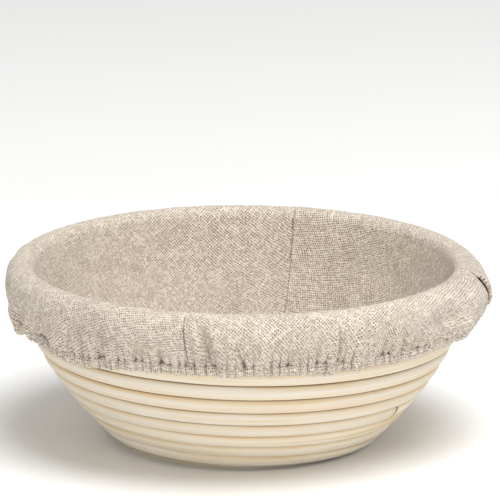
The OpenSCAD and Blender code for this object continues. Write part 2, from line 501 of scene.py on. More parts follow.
@dataclass(frozen=True)
class LinenFinish:
    """Natural linen in plain weave, on a map that is the cloth's own flat shape in metres.

    A pace is a number of noise cells in a metre of cloth. The gap colour is painted shade between the yarns, in the
    holes of the weave and in tucks, and it also darkens random clouds of the cloth's tone. A tuck is painted darker
    by a share of it, as painted shade.
    """

    name: str = "natural_linen"
    yarn: float = 0.00114
    flax: Colour = (0.545, 0.462, 0.368)
    light: Colour = (0.88, 0.79, 0.675)
    gap: Colour = (0.15, 0.10, 0.07)
    slub: Colour = (0.16, 0.11, 0.08)
    # Painted shade: how much darker a tuck is painted.
    painted_fold_shade: float = 0.62
    sway_yarns: float = 2.2
    sway_pace: float = 120.0
    yarn_pace: float = 90.0
    cloud_pace: float = 28.0
    slub_pace: float = 34.0
    slub_size: tuple[float, float] = (0.022, 0.040)
    relief_depth: float = 0.00035

    def cell(self, s: Shader, a: object, b: object, shift: float, seed: float) -> bpy.types.NodeSocket:
        """A random number for each cell of the weave.

        Args:
            s: the material.
            a: place across, in yarns.
            b: place along, in yarns.
            shift: where the cells begin.
            seed: picks the numbers.

        Returns:
            A number from 0 to 1.
        """
        white = s.node("ShaderNodeTexWhiteNoise", noise_dimensions="3D")
        corner = [s.maths("FLOOR", s.maths("ADD", value, shift)) for value in (a, b)]
        s.feed(white.inputs["Vector"], s.point(*corner, seed))
        return white.outputs["Value"]

    def make(self) -> bpy.types.Material:
        """Builds the material.

        Returns:
            The material, which reads the flat cloth from the pattern map and the folds from "tuck", where it paints
            shade.
        """
        s = Shader(self.name)
        u, v = s.pattern()

        def swayed(along: object, seed: float) -> bpy.types.NodeSocket:
            """A coordinate in yarns, with the yarns wandering a little.

            Args:
                along: the coordinate in metres.
                seed: picks the noise.

            Returns:
                The coordinate in yarns.
            """
            sway = s.noise(s.point(u, v, seed), self.sway_pace, 3.0)
            off = s.times(s.maths("SUBTRACT", sway, 0.5), self.yarn * self.sway_yarns)
            return s.maths("DIVIDE", s.maths("ADD", along, off), self.yarn)

        a, b = swayed(u, 1.0), swayed(v, 5.0)
        across, down = (s.maths("SINE", s.times(value, math.pi)) for value in (a, b))
        product = s.times(across, down)
        relief = s.maths("POWER", s.maths("ABSOLUTE", product), 0.45)
        over = s.ramp(product, -0.25, 0.25)
        beside, below = (s.maths("SUBTRACT", 1.0, s.maths("ABSOLUTE", value)) for value in (across, down))
        warp = s.noise(s.point(s.maths("FLOOR", a), s.times(v, self.yarn_pace), 2.0), 1.0, 2.0)
        weft = s.noise(s.point(s.times(u, self.yarn_pace), s.maths("FLOOR", b), 9.0), 1.0, 2.0)
        knot = self.cell(s, a, b, 0.0, 1.0)
        loose = s.ramp(self.cell(s, a, b, 0.5, 2.0), 0.15, 0.9, 0.15, 1.0)
        open_by = s.times(loose, s.times(beside, below))
        colour = s.blend(s.ramp(s.choose(over, warp, weft), 0.3, 0.72), self.flax, self.light)
        colour = s.blend(s.ramp(knot, 0.0, 0.35, 0.45, 0.0), colour, self.flax)
        colour = s.blend(s.ramp(knot, 0.65, 1.0, 0.0, 0.55), colour, self.light)
        # Painted sheen: the floats of one set of yarns are painted a little lighter.
        colour = s.blend(s.times(over, 0.10), colour, self.light)
        # Painted shade between the yarns and in the holes of the weave.
        colour = s.blend(s.ramp(relief, 0.05, 0.75, 0.30, 0.0), colour, self.gap)
        colour = s.blend(s.ramp(open_by, 0.03, 0.33, 0.0, 0.95), colour, self.gap)
        cloud = s.noise(s.point(u, v, 3.0), self.cloud_pace, 3.0)
        colour = s.blend(s.ramp(cloud, 0.45, 0.75, 0.0, 0.14), colour, self.gap)
        spots = s.node("ShaderNodeTexVoronoi", feature="F1")
        s.feed(spots.inputs["Vector"], s.point(u, v))
        spots.inputs["Scale"].default_value = self.slub_pace
        colour = s.blend(s.ramp(spots.outputs["Distance"], *self.slub_size, 0.85, 0.0), colour, self.slub)
        # Painted shade in the tucks of the folds and along the seams.
        tuck = s.node("ShaderNodeAttribute", attribute_name="tuck").outputs["Fac"]
        colour = s.blend(s.times(tuck, self.painted_fold_shade), colour, self.gap)
        s.set(Base_Color=colour, Roughness=0.92, Specular_IOR_Level=0.15, Sheen_Weight=0.22, Sheen_Roughness=0.5)
        s.set(Normal=s.bump(s.maths("ADD", relief, s.times(knot, 0.8)), self.relief_depth, 0.8))
        return s.material


@dataclass(frozen=True)
class ThreadFinish:
    """Spun sewing thread with a fine twist."""

    name: str
    tint: Colour
    shade: Colour
    twist_pace: float = 2600.0
    twist_depth: float = 0.0001

    def make(self) -> bpy.types.Material:
        """Builds the material.

        Returns:
            The material, which reads the place on the object.
        """
        s = Shader(self.name)
        twist = s.noise(s.place(), self.twist_pace, 1.0)
        s.set(Base_Color=s.blend(s.ramp(twist, 0.35, 0.65), self.shade, self.tint), Roughness=0.85)
        s.set(Normal=s.bump(twist, self.twist_depth, 0.5))
        return s.material


@dataclass(frozen=True)
class SteelFinish:
    """Plain wire, dulled and slightly browned."""

    name: str = "dull_wire"
    bright: Colour = (0.50, 0.49, 0.47)
    browned: Colour = (0.30, 0.22, 0.15)
    cloud_pace: float = 900.0
    pit_depth: float = 0.00005

    def make(self) -> bpy.types.Material:
        """Builds the material.

        Returns:
            The material, which reads the place on the object.
        """
        s = Shader(self.name)
        cloud = s.noise(s.place(), self.cloud_pace, 3.0)
        s.set(Base_Color=s.blend(s.ramp(cloud, 0.4, 0.7), self.bright, self.browned), Metallic=0.9)
        s.set(Roughness=s.ramp(cloud, 0.3, 0.7, 0.32, 0.6), Normal=s.bump(cloud, self.pit_depth, 0.4))
        return s.material


@dataclass(frozen=True)
class ElasticFinish:
    """Ribbed woven elastic."""

    name: str = "ribbed_elastic"
    white: Colour = (0.80, 0.78, 0.73)
    worn: Colour = (0.66, 0.63, 0.57)
    rib: float = 0.0007
    fuzz_pace: float = 1500.0
    rib_depth: float = 0.0001

    def make(self) -> bpy.types.Material:
        """Builds the material.

        Returns:
            The material, which reads the place on the object.
        """
        s = Shader(self.name)
        rib = s.maths("SINE", s.times(s.parts(s.place())[2], math.tau / self.rib))
        fuzz = s.noise(s.place(), self.fuzz_pace, 2.0)
        s.set(Base_Color=s.blend(s.ramp(fuzz, 0.35, 0.7), self.white, self.worn), Roughness=0.8)
        s.set(Normal=s.bump(s.maths("ADD", rib, fuzz), self.rib_depth, 0.5))
        return s.material


@dataclass(frozen=True)
class FloorFinish:
    """Pale, faintly uneven studio floor."""

    name: str = "pale_floor"
    tint: Colour = (0.93, 0.93, 0.92)
    glow: Colour = (0.95, 0.95, 0.94)

    def make(self) -> bpy.types.Material:
        """Builds the material.

        Returns:
            The material, which reads the place on the floor.
        """
        s = Shader(self.name)
        s.set(Base_Color=s.blend(s.noise(s.place(), 6.0, 2.0), self.tint, self.glow), Roughness=0.9)
        return s.material


def dress(piece: bpy.types.Object, material: bpy.types.Material) -> None:
    """Gives a piece one material."""
    piece.data.materials.clear()
    piece.data.materials.append(material)


def mount(
    piece: bpy.types.Object, material: bpy.types.Material, body: Body, slot: str, *nodes: str
) -> bpy.types.Object:
    """Dresses a piece and says what it rides on, its slot, and the nodes it stands for.

    Args:
        piece: the new piece.
        material: what it is made of.
        body: the body it moves with.
        slot: not used.
        nodes: the CAD nodes that it replaces.

    Returns:
        The same piece.
    """
    dress(piece, material)
    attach(piece, body.value)
    if nodes:
        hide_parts(*nodes)
    LOG.info("%s rides on %s, %d faces", piece.name, body.value, len(piece.data.polygons))
    return piece


# ---- The wound cane ----


@dataclass(frozen=True)
class Winding:
    """The path of the cane, in millimetres and turns. It passes the front at half turns and rises to the left."""

    base_edge_r: float = 61.0
    base_start_r: float = 8.3
    courses: float = 11.5
    lean_mid: float = 53.1
    lean_gain: float = 3.3
    lean_curve: float = 0.20
    cane_d: float = 8.8
    gap: float = 0.1
    middle: float = 4.5
    sole_z: float = 4.4 * math.cos(math.radians(18))
    front_turn: float = 0.5
    outer_flat: float = 0.50
    edge_flat: float = 0.86

    @property
    def pitch(self) -> float:
        """Distance between two neighbouring courses."""
        return self.cane_d + self.gap

    @property
    def radius(self) -> float:
        """Radius of the cane."""
        return self.cane_d / 2

    @property
    def start(self) -> float:
        """Turn at which the base spiral begins."""
        return 1 - (self.base_edge_r - self.base_start_r) / self.pitch

    @property
    def run_out(self) -> float:
        """Turn at which the last course starts to thin."""
        return self.courses - 1

    def lean_at(self, course: float) -> float:
        """Lean of the wall in degrees from level."""
        off = course - self.middle
        return self.lean_mid + self.lean_gain * off + self.lean_curve * off * off

    def lean(self, u: float) -> float:
        """Direction from a course to the one above it."""
        return self.lean_at(1) * ease(u) if u < 1 else self.lean_at(u)

    def tilt(self, u: float) -> float:
        """Tilt of the cane's section."""
        return self.lean_at(1) * ease(2 * (u - 1)) if u < 1.5 else self.lean_at(u - 0.5)

    def course(self, u: float) -> tuple[float, float]:
        """The cane's middle at a turn.

        Args:
            u: turns along the spiral, 1 at the edge of the base.

        Returns:
            Radius and height in millimetres.
        """
        steps = max(0, math.ceil(u) - 1)
        u -= steps
        r, z = self.base_edge_r - self.pitch * (1 - u), self.sole_z
        for _ in range(steps):
            a = math.radians(self.lean(u))
            r, z = r + self.pitch * math.cos(a), z + self.pitch * math.sin(a)
            u += 1
        return r, z

    def azimuth(self, u: float) -> float:
        """Degrees from the front towards the right at a turn."""
        return -360 * (u - self.front_turn)

    @property
    def rim(self) -> tuple[float, float]:
        """Radius and height of the rim hoop's middle."""
        return self.course(self.courses)

    def section(self, a: float) -> tuple[float, float]:
        """A point of the cane's section, as shares of its radius.

        Args:
            a: angle in radians from the outward side.

        Returns:
            The shares outward and upward. The outward half is flattened, as split cane is.
        """
        across, along = math.cos(a), math.sin(a)
        if across <= 0:
            return across, along
        return across**self.outer_flat, math.copysign(abs(along) ** self.edge_flat, along)


class End(Enum):
    """How a length of cane ends."""

    SQUARE = "square"
    TONGUE = "tongue"
    TAPER = "taper"


@dataclass
class CaneLength:
    """One length of cane, from one turn to another."""

    name: str
    start: float
    stop: float
    finish: CaneFinish
    start_end: End = End.SQUARE
    stop_end: End = End.SQUARE
    winding: Winding = Winding()
    sides: int = 18
    rings_per_turn: int = 110
    scarf_turns: float = 0.1
    scarf_tip: float = 3.4
    scarf_gap: float = 0.04
    notch_mm: float = 1.8
    cut_step: float = 0.0006
    least_half: float = 0.2
    point_turns: float = 0.30

    def stations(self) -> list[float]:
        """Where along the cane its rings of points lie.

        Returns:
            The turns of the rings, closer together where a scarf is cut.
        """
        count = round((self.stop - self.start) * self.rings_per_turn)
        rings = [self.start + (self.stop - self.start) * n / count for n in range(count + 1)]
        if self.stop_end is End.TONGUE:
            cut = self.stop - self.scarf_turns
            rings += [cut - self.cut_step, cut, cut + self.cut_step]
        return sorted(rings)

    def cut_level(self, u: float) -> tuple[float, float]:
        """What a scarf leaves of the section.

        Args:
            u: the turn.

        Returns:
            The lowest and highest share that is left, from -1 inside to 1 outside.
        """
        radius = self.winding.radius
        tip = 1 - self.scarf_tip / radius
        low, high = -1.0, 1.0
        if self.start_end is End.TONGUE and u < self.start + self.scarf_turns:
            low = tip - 2 * tip * (u - self.start) / self.scarf_turns
        if self.stop_end is End.TONGUE and u > self.stop - self.scarf_turns - self.cut_step / 2:
            x = (u - self.stop + self.scarf_turns) / self.scarf_turns
            high = tip - 2 * tip * x - self.scarf_gap
        return low, high

    def middle(self, u: float) -> tuple[float, float, float, float]:
        """Where the cane lies at a turn, thinning out under the rim.

        Args:
            u: the turn.

        Returns:
            Radius and height of the middle, the section's tilt in degrees, and its half height.
        """
        w = self.winding
        if u < w.run_out:
            return *w.course(u), w.tilt(u), w.radius
        (lr, lz), (hr, hz) = w.course(u - 1), w.rim
        room = math.hypot(hr - lr, hz - lz) - w.cane_d - 2 * w.gap
        tilt = math.degrees(math.atan2(hz - lz, hr - lr))
        return (lr + hr) / 2, (lz + hz) / 2, tilt, max(self.least_half, min(w.radius, room / 2))

    def build(self) -> bpy.types.Object:
        """Builds the length of cane.

        Returns:
            The piece, which replaces the CAD node of the same name.
        """
        w = self.winding
        rings = self.stations()
        seed = self.finish.seed
        shift = self.notch_mm / (math.tau * w.course(self.start)[0]) if self.start_end is End.TONGUE else 0.0
        laid = [0.0]
        for a, b in zip(rings, rings[1:]):
            laid.append(laid[-1] + math.tau * w.course(a)[0] * (b - a) * MM)

        def place(i: int, j: int) -> Vector:
            """A point of the cane's surface.

            Args:
                i: ring.
                j: side of the section.

            Returns:
                The point in metres.
            """
            side = j % self.sides
            across, along = w.section(math.tau * side / self.sides)
            u = max(rings[i], self.start + shift * (1 - 0.8 * along))
            r, z, tilt, half = self.middle(u)
            low, high = self.cut_level(u)
            swell = 0.992 + 0.012 * wave(seed, laid[i] * 40) + 0.006 * wave(seed + 2, laid[i] * 160, side)
            tip = ease((u - self.start) / self.point_turns) if self.name == "base_cane" else 1.0
            out = min(high, max(low, across)) * w.radius * min(1.0, swell) * (0.45 + 0.55 * tip)
            up = along * half * min(1.0, swell) * (0.55 + 0.45 * tip)
            t = math.radians(tilt)
            r += out * math.sin(t) + up * math.cos(t)
            z += up * math.sin(t) - out * math.cos(t)
            return polar(r, max(z, 0.0), w.azimuth(u))

        def pattern(i: int, j: int, _: float) -> tuple[float, float]:
            """Metres along the cane, and the share of its girth."""
            return laid[i], j / self.sides

        piece = grid_piece(
            self.name + "_strand", len(rings) - 1, self.sides, place, pattern, closed_rows=True, capped=True
        )
        return mount(piece, self.finish.make(), Body.BASKET, "cane", self.name)


@dataclass
class RimHoop:
    """The level hoop of cane on top of the wall, joined by a long slanting cut at the back."""

    winding: Winding
    finish: CaneFinish
    joint_turn: float = 150.0
    joint_gap: float = 0.55
    joint_slant: float = 3.2
    sides: int = 20
    rings: int = 160

    def build(self) -> bpy.types.Object:
        """Builds the hoop.

        Returns:
            The piece, which replaces the CAD node rim_cane.
        """
        w = self.winding
        r0, z0 = w.rim
        span = 360 - self.joint_gap

        def place(i: int, j: int) -> Vector:
            """A point of the hoop's surface.

            Args:
                i: ring.
                j: side of the section.

            Returns:
                The point in metres.
            """
            side = j % self.sides
            a = math.tau * side / self.sides
            slant = self.joint_slant * math.sin(a) * (1 if i in (0, self.rings) else 0)
            turn = self.joint_turn + self.joint_gap / 2 + span * i / self.rings + slant
            swell = 1 - 0.012 * abs(wave(5.0, turn * 0.06)) - 0.006 * abs(wave(8.0, turn * 0.3, side))
            out, up = math.cos(a) * w.radius * swell, math.sin(a) * w.radius * swell
            return polar(r0 + out, z0 + up, turn)

        def pattern(i: int, j: int, _: float) -> tuple[float, float]:
            """Metres along the hoop, and the share of its girth."""
            return math.tau * r0 * MM * i / self.rings, j / self.sides

        piece = grid_piece("rim_cane_strand", self.rings, self.sides, place, pattern, closed_rows=True, capped=True)
        return mount(piece, self.finish.make(), Body.BASKET, "cane", "rim_cane")


FASTENERS = ("base_staples", "lower_wall_brads", "middle_wall_brads", "upper_wall_brads", "rim_brads", "splice_brads")


@dataclass
class CaneBasket:
    """The wound bowl of cane with its fasteners."""

    winding: Winding = Winding()
    base_splice: float = 1 + 25 / 30
    lower_splice: float = 4 + 10 / 30
    upper_splice: float = 7 + 28 / 30
    lap: float = 0.1
    trimmed_turns: float = 0.03

    def build(self) -> None:
        """Builds every cane and dresses the fasteners."""
        w, lap, tongue = self.winding, self.lap, End.TONGUE
        last = w.courses - self.trimmed_turns
        finishes = [
            # The lower courses are painted paler, painted light for the brighter light they get; the painted groove
            # shade is stronger higher up.
            CaneFinish("cane_base", pale=(0.90, 0.85, 0.75), seed=1.0, warmth=0.10, groove_shade=0.62),
            CaneFinish("cane_lower", pale=(0.83, 0.765, 0.65), seed=21.0, warmth=0.45, groove_shade=0.74),
            CaneFinish("cane_middle", pale=(0.755, 0.695, 0.60), seed=42.0, warmth=0.35, groove_shade=0.90),
            CaneFinish("cane_upper", pale=(0.745, 0.685, 0.585), seed=63.0, warmth=0.40, groove_shade=0.98),
        ]
        lengths = [
            CaneLength("base_cane", w.start, self.base_splice + lap, finishes[0], stop_end=tongue),
            CaneLength("lower_wall_cane", self.base_splice, self.lower_splice + lap, finishes[1], tongue, tongue),
            CaneLength("middle_wall_cane", self.lower_splice, self.upper_splice + lap, finishes[2], tongue, tongue),
            CaneLength("upper_wall_cane", self.upper_splice, last, finishes[3], tongue, End.TAPER),
        ]
        for length in lengths:
            length.build()
        RimHoop(w, CaneFinish("cane_rim", seed=84.0)).build()
        wire = SteelFinish().make()
        for node in FASTENERS:
            dress(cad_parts[node], wire)


# ---- The liner ----


@dataclass(frozen=True)
class Fold:
    """A soft fold of the skirt: a ridge if its height is above 0, else a hollow.

    Angles are in degrees from the front towards the right, heights in millimetres. top and foot are shares of
    the way from the rim to the hem.
    """

    top_turn: float
    foot_turn: float
    width: float
    height: float
    top: float = 0.3
    foot: float = 1.1
    crisp: bool = False

    def lift(self, turn: float, down: float) -> float:
        """How far the fold lifts the cloth.

        Args:
            turn: degrees from the front towards the right.
            down: 0 at the rim roll, 1 at the hem.

        Returns:
            The lift in millimetres.
        """
        span = self.foot - self.top
        share = (down - self.top) / span
        if share <= 0:
            return 0.0
        centre = self.top_turn + (self.foot_turn - self.top_turn) * share
        strength = ease(share * 2.2) * (1.0 if self.foot > 1 else ease((1 - share) * 3))
        off, width = abs(apart(turn, centre)), self.width * (0.55 + 0.45 * min(1.0, share))
        shape = math.exp(-1.5 * off / width) if self.crisp else hump(off, width)
        return self.height * strength * shape


@dataclass(frozen=True)
class Dart:
    """A sewn dart of the liner: its crease follows this line from the floor over the rim to the hem."""

    node: str
    turn: float
    skirt_turns: tuple[float, float, float] = (0.0, 0.0, 0.0)
    slit: float = 0.0

    def drift(self, down: float) -> float:
        """How far the crease has wandered sideways on the skirt.

        Args:
            down: 0 at the rim roll, 1 at the hem.

        Returns:
            The angle in degrees.
        """
        a, b, c = self.skirt_turns
        x = min(1.0, max(0.0, down))
        return (a * (1 - x) * (1 - x) + 2 * b * x * (1 - x) + c * x * x) * ease(max(0.0, down + 0.15) * 4)


DARTS = (
    Dart("front_dart_seam", -14.0, (-0.4, -0.6, 0.9)),
    Dart("right_dart_seam", 76.0, (2.0, 8.0, 13.0), slit=1.0),
    Dart("back_dart_seam", 166.0, (0.0, -1.0, 1.0)),
    Dart("left_dart_seam", 256.0, (0.0, 1.2, 2.0)),
)

FRONT_FOLDS = (
    Fold(-12.9, -9.8, 1.2, 2.2, 0.08, 0.98),
    Fold(-11.3, -6.4, 1.5, -3.2, 0.12, 0.95),
    Fold(-10.0, -6.9, 0.9, -3.6, 0.45, 1.15, True),
    Fold(-7.4, -4.9, 1.1, 1.8, 0.45),
    Fold(-3.4, -1.0, 1.3, 2.0, 0.45),
    Fold(-2.4, 1.2, 1.0, -4.2, 0.55, 1.15, True),
    Fold(4.0, 5.0, 1.4, 1.1, 0.50),
    Fold(10.5, 11.0, 1.6, -1.3, 0.50),
    Fold(18.4, 18.8, 1.6, -2.2, 0.45),
    Fold(21.6, 22.4, 0.9, 1.8, 0.30),
    Fold(23.0, 24.2, 0.9, -3.6, 0.25, 1.15, True),
    Fold(29.2, 28.2, 1.3, 2.6, -0.10),
    Fold(31.4, 30.8, 1.1, -2.2, 0.10, 0.95),
    Fold(35.4, 36.8, 1.9, -2.8, 0.20),
    Fold(39.0, 40.4, 1.2, 1.4, 0.40),
    Fold(42.0, 43.0, 1.4, -1.6, 0.50),
    Fold(-21.0, -20.4, 1.3, -1.3, 0.55),
    Fold(-27.0, -26.6, 1.2, -1.4, 0.60),
    Fold(-36.2, -37.2, 1.0, -3.2, 0.40, 1.15, True),
    Fold(-33.8, -34.4, 1.6, 1.4, 0.40),
    Fold(-46.0, -48.5, 1.8, -1.8, 0.45),
    Fold(-52.0, -54.0, 1.8, 1.3, 0.50),
    Fold(-58.0, -61.0, 2.0, -2.2, 0.45),
    Fold(-65.0, -68.0, 2.2, 2.0, 0.50),
    Fold(-71.0, -74.0, 1.6, -2.0, 0.55),
    Fold(-77.0, -79.0, 2.2, 1.6, 0.60),
    Fold(55.0, 57.0, 2.6, -1.4, 0.45),
    Fold(66.0, 68.0, 3.4, 1.6, 0.35),
)


@dataclass
class LinerShape:
    """Where the liner's cloth lies: over the floor, up the wall, round the rim and down the skirt.

    Lengths are in millimetres and turns in degrees from the front towards the right. down is a place along the
    cloth: -3 on the floor, -2 to -1 on the wall, -1 to 0 round the rim, then 0 to 1 from the rim roll to the hem.
    """

    winding: Winding = Winding()
    cloth_t: float = 0.6
    off_cane: float = 5.75
    floor_z: float = 9.85
    floor_radii: tuple[float, float, float] = (0.0, 25.0, 48.0)
    floor_r: float = 57.4
    edge_r: float = 60.6
    shoulder: float = 7.8
    bulge_r: float = 117.6
    hem_r: float = 110.5
    hem_z: float = 64.2
    wall_rows: int = 9
    roll_rows: int = 8
    skirt_rows: int = 21
    roll_start: float = 172.0
    roll_stop: float = 72.0
    gather_mm: float = 1.7
    puckers: int = 158

    def __post_init__(self) -> None:
        """Lays out the rows of the cloth with their lengths."""
        w = self.winding
        rows: list[tuple[float, float, float]] = [(r, self.floor_z, -3.0) for r in self.floor_radii]
        rows += [(self.floor_r, self.floor_z + 0.7, -3.0), (self.edge_r, self.floor_z + 2.3, -2.8)]
        self.floor_rows = len(rows)
        for n in range(self.wall_rows):
            u = 2.0 + (w.courses - 0.9 - 2.0) * n / (self.wall_rows - 1)
            r, z = w.course(u)
            t = math.radians(w.tilt(u))
            rows.append((r - self.off_cane * math.sin(t), z + self.off_cane * math.cos(t), -2.0 + n / self.wall_rows))
        rim_r, rim_z = w.rim
        gaps = self.roll_rows - 1
        for n in range(self.roll_rows):
            a = math.radians(self.roll_start + (self.roll_stop - self.roll_start) * n / gaps)
            r, z = rim_r + self.off_cane * math.cos(a), rim_z + self.off_cane * math.sin(a)
            rows.append((r, z, -1 + 0.99 * n / gaps))
        for n in range(1, self.skirt_rows + 1):
            down = n / self.skirt_rows
            rows.append((*self.skirt(0.0, down), down))
        self.rows = rows
        self.length = [0.0]
        for a, b in zip(rows, rows[1:]):
            self.length.append(self.length[-1] + math.hypot(b[0] - a[0], b[1] - a[1]))

    def skirt(self, turn: float, down: float) -> tuple[float, float]:
        """Radius and height of the skirt before its folds.

        Args:
            turn: degrees from the front towards the right.
            down: 0 at the rim roll, 1 at the hem.

        Returns:
            Radius and height in millimetres.
        """
        w = self.winding
        right = ease(1 - abs(apart(turn, 92)) / 60)
        lump = hump(apart(turn, -77), 2.4)
        droop = hump(apart(turn, -46), 13.0)
        a = math.radians(self.roll_stop)
        r0, z0 = w.rim[0] + self.off_cane * math.cos(a), w.rim[1] + self.off_cane * math.sin(a)
        r1, z1 = r0 + self.shoulder * math.sin(a), z0 - self.shoulder * math.cos(a)
        r2, z2 = self.bulge_r + 8.0 * right, 74.0 - 6.0 * right
        r3 = self.hem_r + 3.4 * right + 0.7 * droop + 1.0 * lump
        z3 = self.hem_z + 2.0 * right - 3.0 * droop - 1.8 * lump
        x = down
        y = 1 - x
        k = (y * y * y, 3 * y * y * x, 3 * y * x * x, x * x * x)
        return (
            k[0] * r0 + k[1] * r1 + k[2] * r2 + k[3] * r3,
            k[0] * z0 + k[1] * z1 + k[2] * z2 + k[3] * z3,
        )

    def folds(self, turn: float, down: float) -> float:
        """Height of folds and gathers on the skirt.

        Args:
            turn: degrees from the front towards the right.
            down: 0 at the rim roll, 1 at the hem.

        Returns:
            The height in millimetres.
        """
        lift = sum(f.lift(turn, down) for f in FRONT_FOLDS if abs(apart(turn, f.foot_turn)) < 12)
        quiet = 1 - ease(1 - abs(apart(turn, 4)) / 52) * 0.75
        grow = ease(down * 1.3)
        broad, fine = round_wave(3.1, turn, 0.11, down * 0.6), round_wave(6.7, turn, 0.27, down * 0.5)
        lift += quiet * grow * (1.7 * broad + 1.5 * fine)
        lift += 0.70 * grow * round_wave(12.3, turn, 0.42, down * 1.5)
        lift += 1.3 * grow * hump(apart(turn, -74), 20.0) * round_wave(5.9, turn, 0.33, down * 1.2)
        lift -= 3.2 * hump(apart(turn, 60), 9.0) * hump(down - 0.60, 0.16)
        low = ease((down - 0.55) / 0.45)
        lift += low * 0.75 * round_wave(17.9, turn, 0.95, down)
        lift += self.gather(turn) * self.gather_mm * ease((down - self.gather_top(turn)) / 0.40)
        return lift

    def gather_top(self, turn: float) -> float:
        """How far down the skirt the pleats begin."""
        return 0.64 + 0.10 * round_wave(19.0, turn, 0.6)

    def tuck(self, turn: float, down: float) -> float:
        """How deep a place lies between pleats or in a seam, where the linen paints shade.

        Args:
            turn: degrees from the front towards the right.
            down: 0 at the rim roll, 1 at the hem.

        Returns:
            The depth, from 0 to 1.
        """
        pleat = ease((0.30 - self.gather(turn)) / 1.1) * ease((down - self.gather_top(turn) - 0.06) / 0.28)
        seam = max(hump(apart(turn, dart.turn + dart.drift(down)), 0.22) for dart in DARTS)
        return max(pleat, seam * ease((down - 0.15) / 0.5))

    def gather(self, turn: float) -> float:
        """Small pleats that the elastic draws in.

        Args:
            turn: degrees from the front towards the right.

        Returns:
            A number from about -1 in a tuck to 1 on a puff.
        """
        phase = turn / 360 * self.puckers + 0.55 * round_wave(23.0, turn, 0.12) + 0.2 * round_wave(29.0, turn, 0.5)
        sharp = abs(math.sin(math.pi * phase))
        return (2 * math.sqrt(sharp) - 1) * (0.85 + 0.3 * round_wave(47.0, turn, 0.4))

    def crease(self, turn: float, down: float) -> float:
        """The four sewn creases.

        Args:
            turn: degrees from the front towards the right.
            down: 0 at the rim roll, 1 at the hem.

        Returns:
            The lift in millimetres, below 0 in a crease.
        """
        depth = 0.0
        for dart in DARTS:
            off = apart(turn, dart.turn + dart.drift(down))
            depth += -1.8 * hump(off, 0.25) + 0.40 * hump(off, 1.2)
        return depth * (0.35 if down < -2 else 1.0) * ease(down + 3.0)

    def point(self, turn: float, row: int, above: float = 0.0) -> Vector:
        """Where a place on the cloth lies.

        Args:
            turn: degrees from the front towards the right, before the creases' drift.
            row: row of the cloth.
            above: height over the middle of the cloth, in millimetres.

        Returns:
            The point in metres.
        """
        w = self.winding
        r, z, down = self.rows[row]
        turn = self.drifted(turn, down)
        if down > 0:
            r, z = self.skirt(turn, down)
            r1, z1 = self.skirt(turn, min(1.0, down + 0.02))
            r2, z2 = self.skirt(turn, down - 0.02)
            nr, nz = z2 - z1, r1 - r2
            lift = self.folds(turn, down) + self.crease(turn, down) + self.slit_lift(turn, down)
        else:
            last = self.rows[row + 1]
            first = self.rows[max(0, row - 1)]
            nr, nz = -(last[1] - first[1]), last[0] - first[0]
            lift = self.crease(turn, down) * (1.0 if down > -1.2 else 0.8)
            if -2.6 < down < -1.0:
                lift += 0.30 * round_wave(31.0, turn, 0.06, z * 0.08) + 0.12 * round_wave(37.0, turn, 0.3, z * 0.2)
            if down >= -1:
                folds = sum(f.lift(turn, down) for f in FRONT_FOLDS if f.top < 0)
                lift += 0.35 * round_wave(41.0, turn, 0.16) * (1 + down) + folds
        size = math.hypot(nr, nz) or 1.0
        lift += above
        r += lift * nr / size
        z += lift * nz / size
        return polar(r, z, turn + self.parted(turn, down))

    def drifted(self, turn: float, down: float) -> float:
        """Bends the columns so that they follow the creases.

        Args:
            turn: degrees from the front towards the right.
            down: 0 at the rim roll, 1 at the hem.

        Returns:
            The turn of the column at that height.
        """
        for dart in DARTS:
            off = apart(turn, dart.turn)
            turn += dart.drift(down) * hump(off, 14.0)
        return turn

    def slit_open(self, down: float) -> float:
        """How open the gaping seam is, from 0 to 1."""
        ragged = 0.75 + 0.25 * wave(83.0, down * 9.0)
        return ragged * ease((down - 0.10) / 0.18) * ease((0.93 - down) / 0.2)

    def slit_lift(self, turn: float, down: float) -> float:
        """Lift of the gaping seam's two lips.

        Args:
            turn: degrees from the front towards the right.
            down: 0 at the rim roll, 1 at the hem.

        Returns:
            The lift in millimetres.
        """
        lift = 0.0
        for dart in DARTS:
            off = apart(turn, dart.turn + dart.drift(down))
            if dart.slit and abs(off) < 20:
                open_by = self.slit_open(down) * dart.slit
                lift += open_by * (1.3 * math.exp(-off / 5.0) if off > 0 else -0.9 * math.exp(off / 4.0))
                lift += open_by * 0.7 * hump(off - 0.5, 0.6)
        return lift

    def parted(self, turn: float, down: float) -> float:
        """Sideways parting of the gaping seam.

        Args:
            turn: degrees from the front towards the right.
            down: 0 at the rim roll, 1 at the hem.

        Returns:
            The angle in degrees.
        """
        for dart in DARTS:
            off = apart(turn, dart.turn + dart.drift(down))
            if dart.slit and down > 0 and abs(off) < 6:
                return math.copysign(self.slit_open(down) * math.exp(-abs(off) / 1.8), off)
        return 0.0


